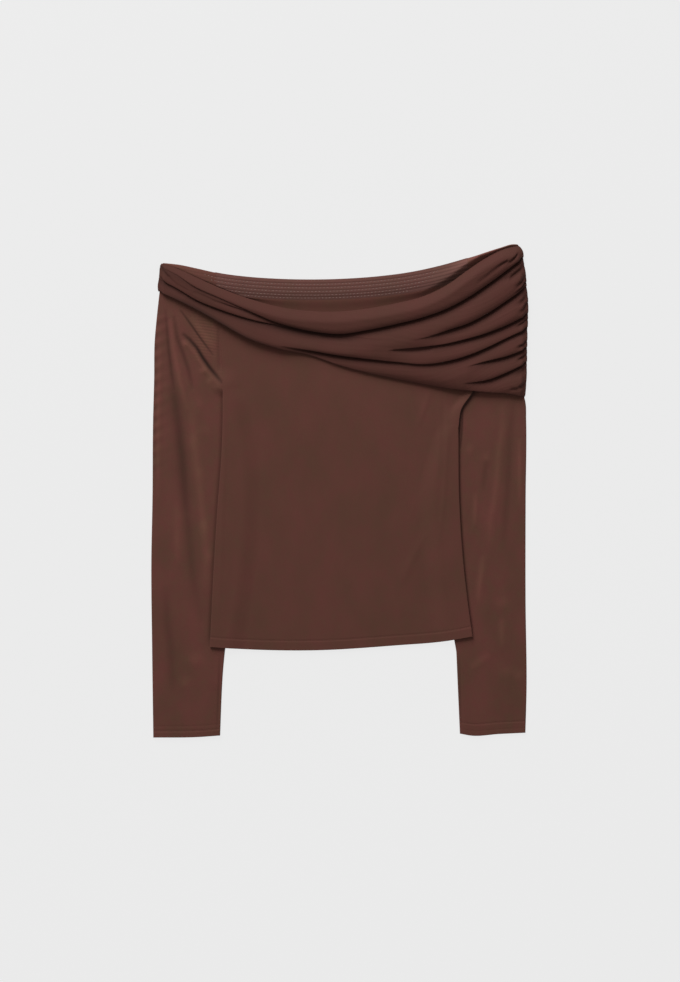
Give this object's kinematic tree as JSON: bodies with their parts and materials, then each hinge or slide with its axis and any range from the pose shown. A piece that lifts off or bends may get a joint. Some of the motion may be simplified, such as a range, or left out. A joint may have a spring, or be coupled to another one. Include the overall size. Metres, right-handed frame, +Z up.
{
  "type": "off-the-shoulder long-sleeved draped jersey top, laid flat",
  "caption": "Off-the-shoulder long-sleeved stretch top laid flat, its front crossed by a gathered drape that fans out from one shoulder to the other side.",
  "frame": {"origin": "on the resting surface, under the middle of the whole top", "axes": "+X to the right of the view from above, +Y from the hem to the neckline, +Z up through the layers"},
  "size_m": [0.4712, 0.6162, 0.0107],
  "materials": {
    "body_jersey": "smooth matte stretch jersey with a faint sheen",
    "drape_jersey": "smooth matte stretch jersey with a soft sheen on the folds",
    "sleeve_mesh": "fine stretch mesh, slightly lighter, with soft mottling",
    "band_mesh": "fine stretch mesh with rows of stitching"
  },
  "bodies": {
    "root": {"front_panel": "body_jersey", "back_panel": "body_jersey", "neck_band": "band_mesh", "sleeve_left": "sleeve_mesh", "sleeve_right": "sleeve_mesh", "drape": "drape_jersey"}
  },
  "joints": []
}
